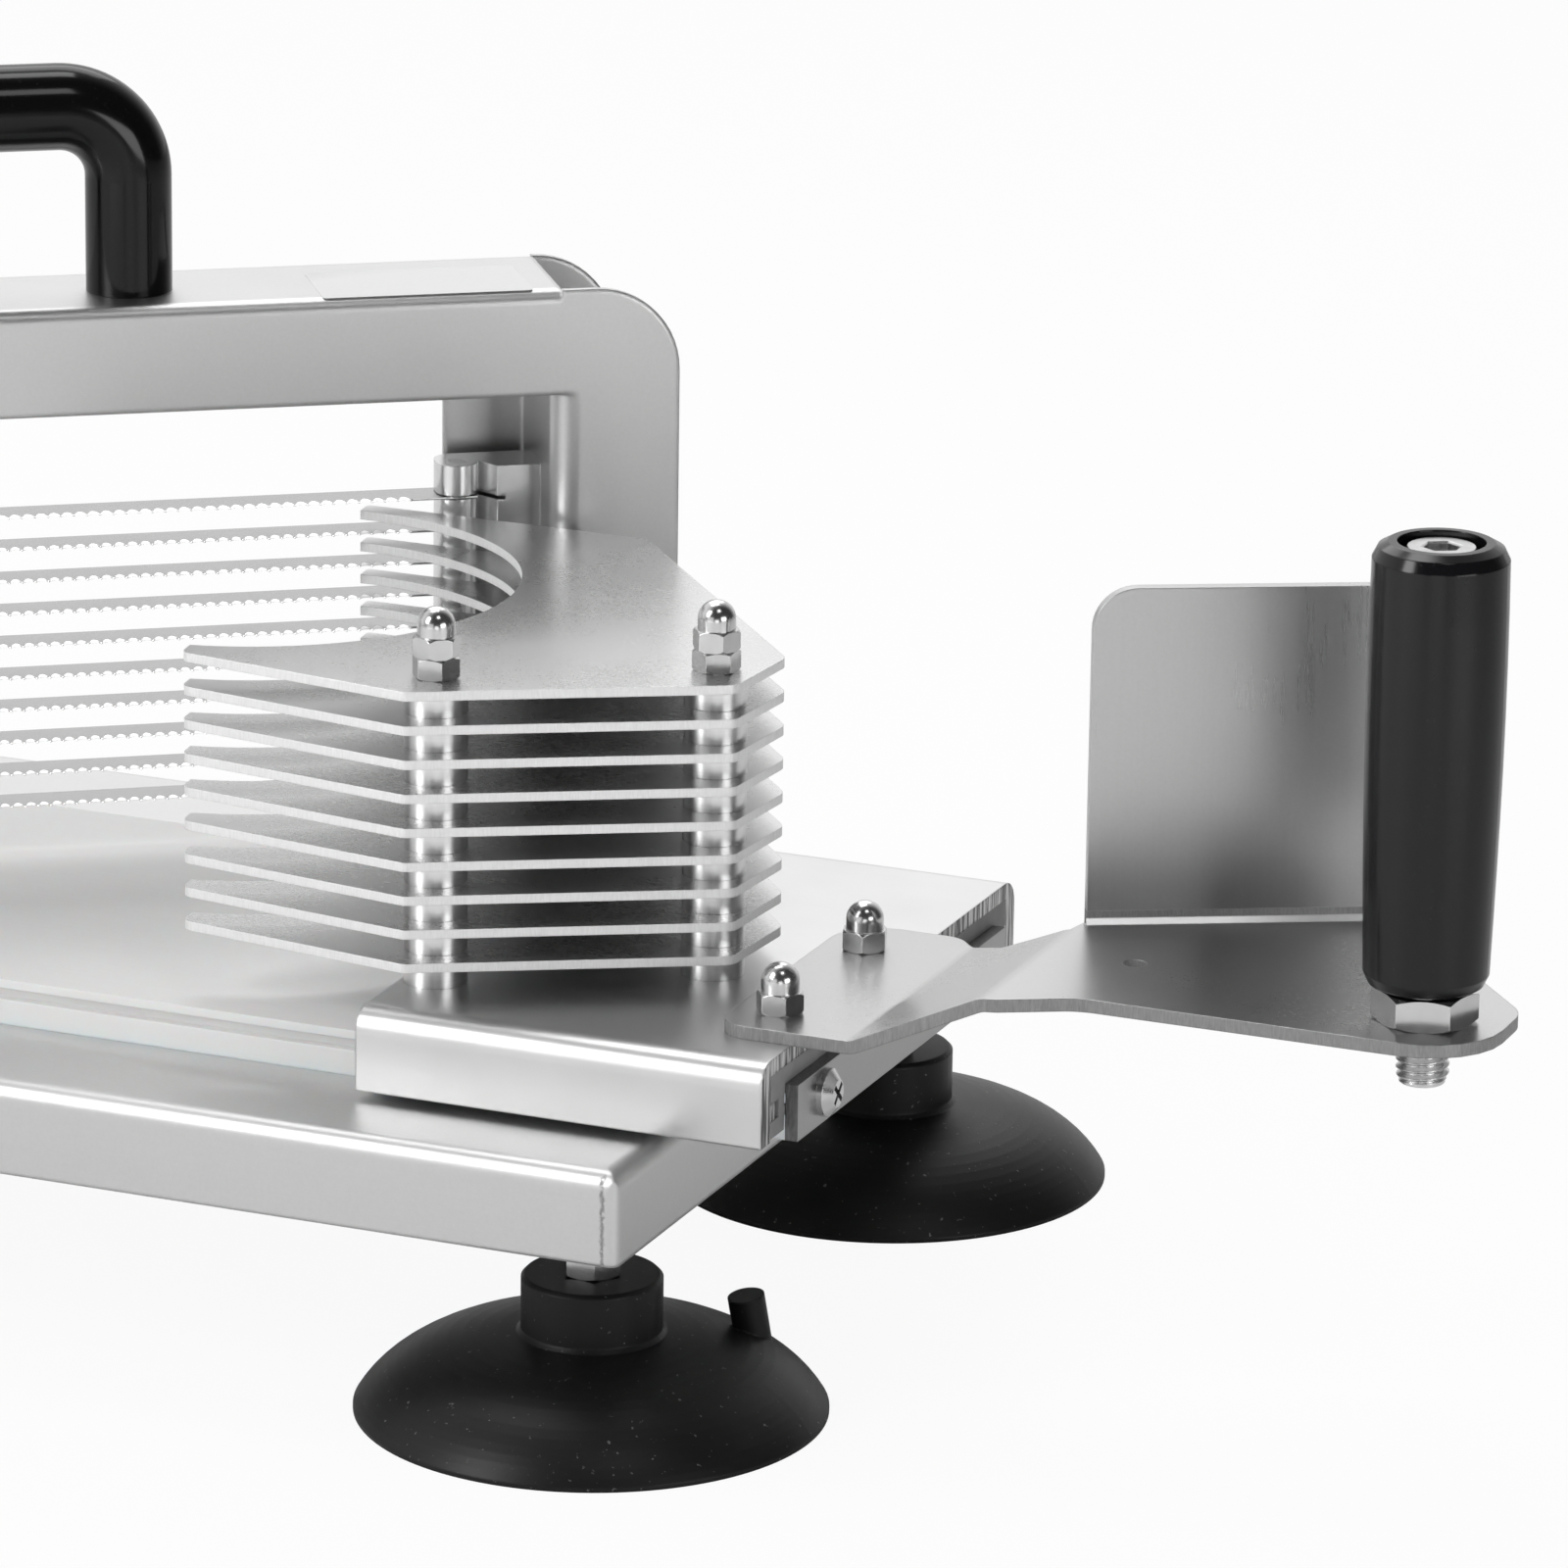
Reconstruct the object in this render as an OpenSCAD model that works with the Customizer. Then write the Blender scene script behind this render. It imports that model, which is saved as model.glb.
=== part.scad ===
/* [Base] */
// Length of the folded base pan
pan_l = 325; // [310:1:360]
// Width of the base pan
pan_w = 194; // [190:1:210]
// Depth of the folded pan sides
pan_h = 18; // [14:0.5:24]
// Sheet thickness of the base pan
pan_t = 1.5; // [1:0.1:2]
// Outer bend radius of the base pan
pan_r = 3.5; // [2.5:0.1:4.5]
// Outer radius of the pan's welded corners
pan_corner_r = 2; // [2:0.1:3]
// Height of the pan top above the table
pan_top = 55; // [50:0.5:62]

/* [Suction feet] */
// Diameter of a suction cup at its rim
cup_d = 89; // [80:1:90]
// Height of the rubber foot up to its flat top
cup_h = 26.5; // [24:0.5:28]
// Radius of the cylindrical neck of the foot
neck_r = 13.3; // [12:0.1:15]
// Distance of the feet from the centre along the base
foot_x = 147.7; // [140:0.1:149]
// Distance of the feet from the centre across the base
foot_y = 73.7; // [70:0.1:75]

/* [Slide board] */
// Left end of the slide board
board_x0 = -152; // [-155:1:-150]
// Right end of the slide board
board_x1 = 182.7; // [182.7:0.1:182.7]
// Middle of the slide board across the base
board_y = -12.7; // [-12.7:0.1:-12.7]
// Width of the slide board
board_w = 106; // [106:1:106]
// Thickness of the slide board
board_t = 9; // [9:0.5:9]
// Thickness of the flat bar on the board end
strip_t = 2.5; // [2:0.1:4]

/* [Carriage] */
// Length of the aluminium carriage along the slide
carriage_l = 81.9; // [80:0.1:82]
// Width of the carriage across the board
carriage_w = 129; // [129:0.5:129]
// Height of the carriage section
carriage_h = 16; // [15.5:0.5:16.5]
// Thickness of the carriage top
carriage_top_t = 3.2; // [3:0.1:3.4]
// Thickness of the carriage side legs
carriage_leg_t = 4.6; // [4:0.1:5]

/* [Blades] */
// Height from one blade to the next
pitch = 6.6; // [6.6:0.05:6.8]
// Number of blades
blade_count = 10; // [6:1:10]
// Width of a blade strip
blade_w = 8.5; // [7:0.1:9]
// Thickness of a blade strip
blade_t = 0.4; // [0.3:0.05:0.5]
// Length of one scallop along the cutting edge
tooth_pitch = 2.6; // [2.4:0.1:3.2]
// Depth of a scallop
tooth_depth = 0.7; // [0.4:0.1:0.9]
// Angle of the blades to the slide direction
blade_angle = 35.7; // [35:0.1:36.5]
// Half the distance between the blade pins
pin_u = 101; // [100:0.5:101]

/* [Bridge] */
// Height of the bridge top above the table
bridge_top = 179.5; // [176:0.5:184]
// Height of the bridge top beam
beam_h = 21.2; // [18:0.2:22]
// Half the clear width between the bridge legs
leg_u = 117.1; // [116.6:0.1:118.1]
// Width of a bridge leg
leg_w = 25.3; // [21.9:0.1:25.3]
// Width of the shorter flange of each leg
short_leg_w = 18.9; // [16.9:0.1:18.9]
// Sheet thickness of the bridge
bridge_t = 1.5; // [1.5:0.1:1.5]
// Radius of the outer top corners of the bridge
bridge_r = 17; // [12:0.5:20]

/* [Carry handle] */
// Diameter of the carry handle bar
carry_d = 17; // [14:0.5:18]
// Centre distance of the carry handle legs
carry_span = 96; // [90:1:110]
// Rise of the handle bar above the bridge
carry_rise = 37; // [34:0.5:45]
// Bend radius of the carry handle
carry_r = 14; // [12:0.5:16]

/* [Pusher] */
// Number of pusher plates
plate_count = 9; // [5:1:9]
// Thickness of a pusher plate
plate_t = 1.8; // [1.5:0.1:2]
// Radius of the hollow that holds the tomato
hollow_r = 52; // [48:0.5:53]
// Radius of the spacer sleeves
spacer_r = 6; // [5:0.1:7]

/* [Push handle] */
// Thickness of the handle plate
handle_t = 2.5; // [2:0.1:2.5]
// Height of the handle plate's raised part above the table
handle_z = 87; // [85:0.5:90]
// Height of the finger guard above the handle plate
guard_h = 65; // [55:1:70]
// Length of the finger guard
guard_l = 60; // [55:0.1:62]
// Height of the turning grip
grip_h = 83.2; // [75:0.1:90]
// Largest radius of the grip
grip_r = 12.6; // [12:0.1:14]

/* [Hidden] */

steel = "silver";
white = "white";
black = "black";
aluminium = "gainsboro";
eps = 0.01;
fit = 0.05;

origin_x = (312.2 - foot_x - cup_d / 2) / 2;

pan_bottom = pan_top - pan_h;
pan_under = pan_top - pan_t;

board_top = pan_top + board_t;
board_y0 = board_y - board_w / 2;
board_y1 = board_y + board_w / 2;
groove_z = pan_top + 5;
groove_h = 2.2;
groove_d = 2.1;
strip_h = board_t + 2;
strip_z = pan_top + strip_h / 2 + 0.3;
strip_screw_in = 13;

carriage_x0 = board_x1 - 0.1 - carriage_l;
carriage_top = 72.6;
carriage_bottom = carriage_top - carriage_h;
web_under = carriage_top - carriage_top_t;
carriage_r = 5;
liner_under = board_top + 0.2;
rail_gap = 0.3;
rib_z = 60.6;
rib_h = 3.3;
rib_d = 2;

bottom_blade_z = carriage_top + (pitch - plate_t) / 2;
top_plate_z = carriage_top + plate_count * pitch;
frame_x = -21;
frame_y = -2.6;
pin_v = 4;
pin_r = 1.9;
nose_r = 4.15;
holder_z0 = 70;
holder_z1 = 141;
slit_h = 0.7;
front_v = -14;
back_v = 18;
back_u = 100.8;
leg_bend_r = 5;
beam_under = bridge_top - beam_h;
bracket_z = board_top + 2;
tab_hole_u = 128;
tab_hole_v = [-5, 9];
holder_depth = [-1, 10.3];
holder_front_u = 108.4;
holder_screw_v = 4.6;
holder_screw_z = [85, 126];

carry_u = -13;
carry_v = 2;

hollow_x = 44.9;
hollow_y = -4.7;
rod_at = [[107, -55.2], [152.4, -28.7]];
rod_r = 2.45;
plate_outline = [
  [42.7, 51.9], [56.8, -60.5], [106.1, -67.7], [160, -37], [161.2, -15.8], [103.5, 51.9]
];
plate_corners = [0.8, 2.5, 2, 3, 4, 3];

bolt_at = [[175.8, -52.1], [175.8, -10.2]];
root_z = carriage_top + handle_t;
bend_x = [194.3, 219.8];
guard_at = [221.6, -13.55];
guard_angle = 27.9;
guard_root = 0.8;
grip_at = [297.2, -41];
pad_r = 15;
handle_outline = [
  [167.4, -63.5], [222, -63.5], [236, -56], [312.2, -56], [312.2, -30],
  on_bend(guard_l + 0.4, guard_root), on_bend(-0.4, guard_root),
  [219.9, -17.5], [205, -13.5], [190, 3.6], [167.4, 3.6]
];
handle_corners = [6, 6, 12, 14.9, 10, 0, 0, 0, 5, 6, 10];

// A point by its distance along the guard's bend line and behind it
function on_bend(u, v) =
  guard_at + u * [cos(guard_angle), sin(guard_angle)] + v * [-sin(guard_angle), cos(guard_angle)];

// Direction from a to b, of length one
function unit(a, b) = (b - a) / norm(b - a);

// Points of a round corner at b between a and c
function corner(a, b, c, r, steps) =
  let (
    u = unit(b, a),
    v = unit(b, c),
    half = acos(u * v) / 2,
    reach = r / tan(half),
    centre = b + unit([0, 0], u + v) * r / sin(half),
    p = b + u * reach - centre,
    q = b + v * reach - centre,
    start = atan2(p[1], p[0]),
    turn = atan2(p[0] * q[1] - p[1] * q[0], p * q)
  )
  [for (i = [0 : steps]) centre + r * [cos(start + turn * i / steps), sin(start + turn * i / steps)]];

// An outline with each corner rounded by its own radius
function rounded(points, radii, steps = 6) =
  let (n = len(points))
  [
    for (i = [0 : n - 1])
      each radii[i] > 0
        ? corner(points[(i + n - 1) % n], points[i], points[(i + 1) % n], radii[i], steps)
        : [points[i]]
  ];

// A point on a cubic curve through a to d with handles b and c
function cubic(a, b, c, d, t) =
  pow(1 - t, 3) * a + 3 * pow(1 - t, 2) * t * b + 3 * (1 - t) * t * t * c + pow(t, 3) * d;

module rounded_square(l, w, r) {
  square([l - 2 * r, w], center = true);
  square([l, w - 2 * r], center = true);
  for (x = [-1, 1], y = [-1, 1])
    translate([x * (l / 2 - r), y * (w / 2 - r)])
      circle(r = r, $fn = 32);
}

// Side view of a folded tray, standing on the x axis
module tray_side(l, h, r) {
  translate([-l / 2, 0])
    square([l, h - r]);
  translate([-l / 2 + r, 0])
    square([l - 2 * r, h]);
  for (x = [-1, 1])
    translate([x * (l / 2 - r), h - r])
      circle(r = r, $fn = 48);
}

// A block standing on z = 0 with folded top edges and mitred corners
module tray_block(l, w, h, r, corner_r) {
  intersection() {
    rotate([90, 0, 0])
      linear_extrude(w + 2, center = true)
        tray_side(l, h, r);
    rotate([90, 0, 90])
      linear_extrude(l + 2, center = true)
        tray_side(w, h, r);
    linear_extrude(h + 1)
      rounded_square(l, w, corner_r);
  }
}

// The frame of the bridge and blades: u runs along the blades, v across them
module blade_frame() {
  translate([frame_x, frame_y, 0])
    rotate(blade_angle)
      children();
}

// A hexagon of the given width across its flats
module hexagon(flats) {
  circle(r = flats / 2 / cos(30), $fn = 6);
}

// A hexagon nut with chamfered corners and a plain bore
module hex_nut(flats, h, bore_r, turn = 0) {
  chamfer = flats * 0.07;
  difference() {
    intersection() {
      rotate(turn)
        linear_extrude(h)
          hexagon(flats);
      rotate_extrude($fn = 64)
        polygon([
          [0, 0], [flats / 2, 0], [flats / 2 + chamfer * 2, chamfer * 1.1],
          [flats / 2 + chamfer * 2, h - chamfer * 1.1], [flats / 2, h], [0, h]
        ]);
    }
    translate([0, 0, -1])
      cylinder(r = bore_r, h = h + 2, $fn = 48);
  }
}

// A cap nut with its dome and a blind bore
module cap_nut(flats, h, bore_r, turn = 0) {
  hex_h = h * 0.42;
  dome_r = flats * 0.45;
  difference() {
    union() {
      intersection() {
        rotate(turn)
          linear_extrude(hex_h)
            hexagon(flats);
        cylinder(r1 = flats / 2 + 0.1, r2 = flats / 2 + hex_h, h = hex_h, $fn = 64);
        cylinder(r2 = flats / 2 + 0.1, r1 = flats / 2 + hex_h, h = hex_h, $fn = 64);
      }
      translate([0, 0, hex_h - eps])
        cylinder(r = dome_r, h = h - hex_h - dome_r + eps, $fn = 64);
      translate([0, 0, h - dome_r])
        sphere(r = dome_r, $fn = 64);
    }
    translate([0, 0, -1])
      cylinder(r = bore_r, h = h - 2, $fn = 48);
  }
}

module at_feet() {
  for (x = [-1, 1], y = [-1, 1])
    translate([x * foot_x, y * foot_y, 0])
      children();
}

module at_board_screws() {
  for (x = [-130, 0, 140], y = [-35, 35])
    translate([x, board_y + y, 0])
      children();
}

module at_tab_holes() {
  for (side = [-1, 1], v = tab_hole_v)
    blade_frame()
      translate([side * tab_hole_u, v, 0])
        children();
}

module base_pan() {
  color(steel)
    difference() {
      translate([0, 0, pan_bottom])
        tray_block(pan_l, pan_w, pan_h, pan_r, pan_corner_r);
      translate([0, 0, pan_bottom - 5])
        tray_block(
          pan_l - 2 * pan_t, pan_w - 2 * pan_t, pan_h - pan_t + 5, pan_r - pan_t, pan_corner_r - pan_t + 0.5
        );
      at_board_screws()
        translate([0, 0, pan_under - 1])
          cylinder(r = 2.1, h = 5, $fn = 32);
      at_tab_holes()
        translate([0, 0, pan_under - 1])
          cylinder(r = 2.6, h = 5, $fn = 32);
    }
}

// A foot with its peg turned to the given side
module suction_cup(peg_turn) {
  rim = cup_d / 2;
  neck_z = 15.2;
  outer = [
    for (i = [0 : 14]) cubic([rim, 0.8], [rim - 4, 7.5], [rim - 13, 14], [neck_r + 0.8, neck_z], i / 14)
  ];
  inner = [for (i = [0 : 10]) cubic([0, 9], [rim * 0.5, 9], [rim * 0.78, 5.4], [rim - 1.4, 0], i / 10)];
  neck = [
    [neck_r, neck_z + 0.8], [neck_r, cup_h - 0.7], [neck_r - 0.7, cup_h],
    [3 + fit, cup_h], [3 + fit, 18], [0, 18]
  ];
  color(black) {
    rotate_extrude($fn = 96)
      polygon(concat([[rim, 0]], outer, neck, inner));
    rotate(peg_turn)
      translate([32.4, 0, 8])
        rotate([0, -10, 0])
          cylinder(r = 3.5, h = 10.6, $fn = 32);
  }
}

module cup_at(x, y, peg_turn) {
  translate([x * foot_x, y * foot_y, 0])
    suction_cup(peg_turn);
}

module foot_studs() {
  color(steel)
    at_feet()
      translate([0, 0, 18.2])
        cylinder(r = 3, h = pan_under - 0.5 - 18.2, $fn = 32);
}

module foot_nuts() {
  color(steel)
    at_feet()
      translate([0, 0, cup_h])
        hex_nut(10, 5, 3 + fit, -3);
}

module foot_weld_nuts() {
  color(steel)
    at_feet()
      translate([0, 0, pan_under - 5])
        hex_nut(10, 5, 3 + fit, 0);
}

module slide_board() {
  length = board_x1 - board_x0;
  notch = [46, 11.7];
  color(white)
    difference() {
      translate([board_x0, board_y0, pan_top])
        cube([length, board_w, board_t]);
      for (y = [board_y0 - 1, board_y1 - groove_d])
        translate([board_x0 - 1, y, groove_z])
          cube([length + 2, groove_d + 1, groove_h]);
      at_board_screws()
        translate([0, 0, pan_top - 1])
          cylinder(r = 1.7, h = 8, $fn = 32);
      for (y = [board_y0 + strip_screw_in, board_y1 - strip_screw_in])
        translate([board_x1 - 17, y, strip_z])
          rotate([0, 90, 0])
            cylinder(r = 2.1, h = 18, $fn = 32);
      translate([board_x0 - 1, board_y0 - 1, pan_top - 1])
        cube([notch[0] + 1, notch[1] + 1, board_t + 2]);
    }
}

module board_screws() {
  color(steel)
    at_board_screws() {
      translate([0, 0, pan_under - 2.2])
        cylinder(r = 3.8, h = 2.2, $fn = 48);
      translate([0, 0, pan_under - eps])
        cylinder(r = 1.65, h = pan_t + 6, $fn = 32);
    }
}

module end_strip() {
  color(steel)
    difference() {
      translate([board_x1, board_y0, pan_top])
        cube([strip_t, board_w, strip_h]);
      for (y = [board_y0 + strip_screw_in, board_y1 - strip_screw_in])
        translate([board_x1 - 1, y, strip_z])
          rotate([0, 90, 0])
            cylinder(r = 2.6, h = strip_t + 2, $fn = 32);
    }
}

module strip_screws() {
  head_r = 4.6;
  color(steel)
    for (y = [board_y0 + strip_screw_in, board_y1 - strip_screw_in])
      translate([board_x1, y, strip_z])
        rotate([0, 90, 0]) {
          translate([0, 0, -16])
            cylinder(r = 2.05, h = 16 + strip_t + eps, $fn = 32);
          translate([0, 0, strip_t])
            difference() {
              union() {
                cylinder(r = head_r, h = 1.3, $fn = 48);
                translate([0, 0, 1.3 - eps])
                  cylinder(r1 = head_r, r2 = 2.6, h = 1.5, $fn = 48);
              }
              for (a = [45, 135])
                rotate(a)
                  translate([-2.4, -0.5, 1.2])
                    cube([4.8, 1, 4]);
            }
        }
}

// Outline of one arch sheet from its left to its right outer edge
module arch_outline(left, right, inner_u) {
  difference() {
    union() {
      translate([-left, pan_top])
        square([left + right, bridge_top - bridge_r - pan_top]);
      translate([-left + bridge_r, pan_top])
        square([left + right - 2 * bridge_r, bridge_top - pan_top]);
      translate([-left + bridge_r, bridge_top - bridge_r])
        circle(r = bridge_r, $fn = 96);
      translate([right - bridge_r, bridge_top - bridge_r])
        circle(r = bridge_r, $fn = 96);
    }
    translate([-inner_u, pan_top - 1])
      square([2 * inner_u, beam_under - pan_top + 1]);
    translate([-leg_u - 1.5, bridge_top - 4])
      square([2 * leg_u + 3, 5]);
    translate([-leg_u, pan_top - 1])
      square([leg_u, bracket_z - pan_top + 1]);
  }
}

module arch_sheet(v, left, right, inner_u) {
  translate([0, v + bridge_t, 0])
    rotate([90, 0, 0])
      linear_extrude(bridge_t)
        arch_outline(left, right, inner_u);
}

// Section of the top beam in v and z
module beam_section() {
  depth = back_v - front_v;
  bend = 2.5;
  difference() {
    translate([front_v, beam_under]) {
      square([depth, beam_h - bend]);
      translate([bend, 0])
        square([depth - 2 * bend, beam_h]);
      for (v = [bend, depth - bend])
        translate([v, beam_h - bend])
          circle(r = bend, $fn = 32);
    }
    translate([front_v + bridge_t, beam_under - 1])
      square([depth - 2 * bridge_t, beam_h - bridge_t + 1]);
  }
}

// Section of a leg's web in u and v, with its bend towards the opening
module web_section() {
  difference() {
    union() {
      translate([leg_u, front_v + leg_bend_r])
        square([bridge_t, back_v - front_v - leg_bend_r]);
      translate([leg_u + leg_bend_r, front_v + leg_bend_r])
        circle(r = leg_bend_r, $fn = 48);
    }
    translate([leg_u + leg_bend_r, front_v + leg_bend_r])
      circle(r = leg_bend_r - bridge_t, $fn = 48);
    translate([leg_u + leg_bend_r, front_v - 1])
      square([10, 20]);
    translate([leg_u + bridge_t, front_v + leg_bend_r])
      square([10, 20]);
  }
}

module bridge() {
  wide = leg_u + leg_w;
  narrow = leg_u + short_leg_w;
  color(steel)
    blade_frame()
      difference() {
        union() {
          arch_sheet(front_v, narrow, wide, leg_u + leg_bend_r - eps);
          arch_sheet(back_v - bridge_t, wide, narrow, back_u);
          translate([-leg_u - 1.5, 0, 0])
            rotate([90, 0, 90])
              linear_extrude(2 * leg_u + 3)
                beam_section();
          for (side = [0, 1])
            mirror([side, 0, 0]) {
              translate([0, 0, pan_top])
                linear_extrude(bridge_top - bridge_t - pan_top)
                  web_section();
              translate([leg_u + 1, front_v + 3, pan_top])
                cube([short_leg_w - 2, back_v - front_v - 4, bridge_t]);
            }
        }
        for (side = [-1, 1], v = tab_hole_v)
          translate([side * tab_hole_u, v, pan_top - 1])
            cylinder(r = 2.6, h = 4, $fn = 32);
        for (z = holder_screw_z)
          translate([0, holder_screw_v, z])
            rotate([0, 90, 0])
              cylinder(r = 2.6, h = 2 * leg_u + 10, center = true, $fn = 32);
        for (side = [-1, 1])
          translate([carry_u + side * carry_span / 2, carry_v, bridge_top - 4])
            cylinder(r = 3.2, h = 6, $fn = 32);
      }
}

module bridge_bolts() {
  color(steel)
    at_tab_holes() {
      translate([0, 0, pan_under - 5])
        cylinder(r = 2.5, h = pan_t + bridge_t + 5 + eps, $fn = 32);
      translate([0, 0, pan_top + bridge_t])
        linear_extrude(3.5)
          hexagon(8);
    }
}

module bridge_nuts() {
  color(steel)
    at_tab_holes()
      translate([0, 0, pan_under - 4])
        hex_nut(8, 4, 2.5 + fit);
}

module carry_handle() {
  r = carry_d / 2;
  leg_h = carry_rise - carry_r;
  bar = carry_span - 2 * carry_r;
  color(black)
    blade_frame()
      translate([carry_u, carry_v, bridge_top])
        difference() {
          union() {
            for (side = [0, 1])
              mirror([side, 0, 0]) {
                translate([carry_span / 2, 0, 0])
                  cylinder(r = r, h = leg_h, $fn = 64);
                translate([carry_span / 2 - carry_r, 0, leg_h])
                  rotate([90, 0, 0])
                    rotate_extrude(angle = 90, $fn = 96)
                      translate([carry_r, 0])
                        circle(r = r, $fn = 64);
              }
            translate([-bar / 2, 0, carry_rise])
              rotate([0, 90, 0])
                cylinder(r = r, h = bar, $fn = 64);
          }
          for (side = [-1, 1])
            translate([side * carry_span / 2, 0, -1])
              cylinder(r = 3 + fit, h = 14, $fn = 32);
        }
}

module carry_handle_screws() {
  color(steel)
    blade_frame()
      for (side = [-1, 1])
        translate([carry_u + side * carry_span / 2, carry_v, bridge_top - bridge_t - 3.5]) {
          linear_extrude(3.5)
            hexagon(10);
          cylinder(r = 3, h = 15.5, $fn = 32);
        }
}

// Section of a blade holder: a rounded nose round the pin and a block on the leg
module holder_section() {
  nose_v = holder_depth[1] - nose_r;
  for (v = [pin_v, nose_v])
    translate([pin_u, v])
      circle(r = nose_r, $fn = 64);
  translate([pin_u - nose_r, pin_v])
    square([2 * nose_r, nose_v - pin_v]);
  polygon([
    [pin_u, pin_v], [pin_u + nose_r, pin_v], [holder_front_u, holder_depth[0]], [leg_u, holder_depth[0]],
    [leg_u, holder_depth[1]], [pin_u, holder_depth[1]]
  ]);
}

// A block with a slit for each blade end
module blade_holder(side) {
  height = holder_z1 - holder_z0;
  color(steel)
    blade_frame()
      mirror([side < 0 ? 1 : 0, 0, 0])
        difference() {
          translate([0, 0, holder_z0])
            linear_extrude(height)
              holder_section();
          translate([pin_u, pin_v, holder_z0 - 1])
            cylinder(r = pin_r + fit, h = height + 2, $fn = 32);
          for (i = [0 : blade_count - 1])
            translate([pin_u - 6, pin_v - 6, bottom_blade_z + i * pitch - slit_h / 2])
              cube([15, 14, slit_h]);
          for (z = holder_screw_z)
            translate([leg_u - 6, holder_screw_v, z])
              rotate([0, 90, 0])
                cylinder(r = 2.5, h = 8, $fn = 32);
        }
}

module holder_screws() {
  color(steel)
    blade_frame()
      for (side = [0, 1], z = holder_screw_z)
        mirror([side, 0, 0])
          translate([leg_u, holder_screw_v, z])
            rotate([0, 90, 0]) {
              translate([0, 0, -5.5])
                cylinder(r = 2.45, h = 7.5, $fn = 32);
              translate([0, 0, bridge_t])
                cylinder(r = 4.5, h = 2.8, $fn = 48);
            }
}

module blade_pins() {
  color(steel)
    blade_frame()
      for (side = [-1, 1])
        translate([side * pin_u, pin_v, holder_z0])
          cylinder(r = pin_r, h = holder_z1 - holder_z0, $fn = 32);
}

// A blade strip with a scalloped front edge, number 1 at the top
module blade(number) {
  teeth = 70;
  start = -teeth * tooth_pitch / 2;
  end_u = pin_u + 3.5;
  scallops = [
    for (i = [0 : teeth - 1])
      each [
        [start + i * tooth_pitch, 0],
        [start + (i + 0.3) * tooth_pitch, tooth_depth * 0.85],
        [start + (i + 0.7) * tooth_pitch, tooth_depth * 0.85]
      ]
  ];
  outline = concat(
    [[-end_u, 0.2]], scallops, [[-start, 0], [end_u, 0.2], [end_u, blade_w - 0.6], [-end_u, blade_w - 0.6]]
  );
  z = bottom_blade_z + (blade_count - number) * pitch;
  color(steel)
    blade_frame()
      translate([0, 0, z - blade_t / 2])
        difference() {
          linear_extrude(blade_t)
            union() {
              polygon(outline);
              translate([start, blade_w - 0.7])
                square([-2 * start, 0.7]);
            }
          for (side = [-1, 1])
            translate([side * pin_u, pin_v, -1])
              cylinder(r = pin_r + fit, h = 2, $fn = 32);
        }
}

// Section of the carriage in y and z, centred on the board
module carriage_section() {
  half = carriage_w / 2;
  inner = half - carriage_leg_t;
  channel = [
    [inner, carriage_bottom - 1], [inner, rib_z], [inner - rib_d, rib_z],
    [inner - rib_d, rib_z + rib_h], [inner, rib_z + rib_h], [inner, web_under]
  ];
  difference() {
    union() {
      translate([-half, carriage_bottom])
        square([carriage_w, carriage_h - carriage_r]);
      translate([-half + carriage_r, carriage_bottom])
        square([carriage_w - 2 * carriage_r, carriage_h]);
      for (side = [-1, 1])
        translate([side * (half - carriage_r), carriage_top - carriage_r])
          circle(r = carriage_r, $fn = 48);
    }
    polygon(concat(channel, [for (i = [len(channel) - 1 : -1 : 0]) [-channel[i][0], channel[i][1]]]));
  }
}

module carriage() {
  color(aluminium)
    difference() {
      translate([carriage_x0, board_y, 0])
        rotate([90, 0, 90])
          linear_extrude(carriage_l)
            carriage_section();
      for (p = concat(rod_at, bolt_at))
        translate([p[0], p[1], web_under - 1])
          cylinder(r = rod_r + 0.1, h = carriage_top_t + 2, $fn = 32);
    }
}

// Section of the plastic liner with its side rails and tongues
module liner_section() {
  inner = carriage_w / 2 - carriage_leg_t;
  rail = board_w / 2 + rail_gap;
  difference() {
    union() {
      translate([-inner, liner_under])
        square([2 * inner, web_under - liner_under]);
      for (side = [0, 1])
        mirror([side, 0]) {
          translate([rail, carriage_bottom + 0.6])
            square([inner - rail, liner_under - carriage_bottom]);
          translate([rail - 1.7, groove_z + 0.3])
            square([2, groove_h - 0.6]);
        }
    }
    for (side = [0, 1])
      mirror([side, 0])
        translate([inner - rib_d - 2, rib_z - 0.1])
          square([rib_d + 3, rib_h + 0.2]);
  }
}

module carriage_liner() {
  color(white)
    difference() {
      translate([carriage_x0, board_y, 0])
        rotate([90, 0, 90])
          linear_extrude(carriage_l)
            liner_section();
      for (p = concat(rod_at, bolt_at))
        translate([p[0], p[1], web_under - 3.8])
          cylinder(r = 5, h = 5, $fn = 32);
    }
}

// A pusher plate, number 1 at the top
module pusher_plate(number) {
  z = top_plate_z - (number - 1) * pitch - plate_t;
  color(steel)
    translate([0, 0, z])
      difference() {
        linear_extrude(plate_t)
          difference() {
            polygon(rounded(plate_outline, plate_corners));
            translate([hollow_x, hollow_y])
              circle(r = hollow_r, $fn = 128);
          }
        for (p = rod_at)
          translate([p[0], p[1], -1])
            cylinder(r = rod_r + 0.1, h = plate_t + 2, $fn = 32);
      }
}

module spacers() {
  color(aluminium)
    for (p = rod_at, i = [0 : plate_count - 1])
      translate([p[0], p[1], carriage_top + i * pitch])
        difference() {
          cylinder(r = spacer_r, h = pitch - plate_t, $fn = 64);
          translate([0, 0, -1])
            cylinder(r = rod_r + 0.1, h = pitch, $fn = 32);
        }
}

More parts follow.
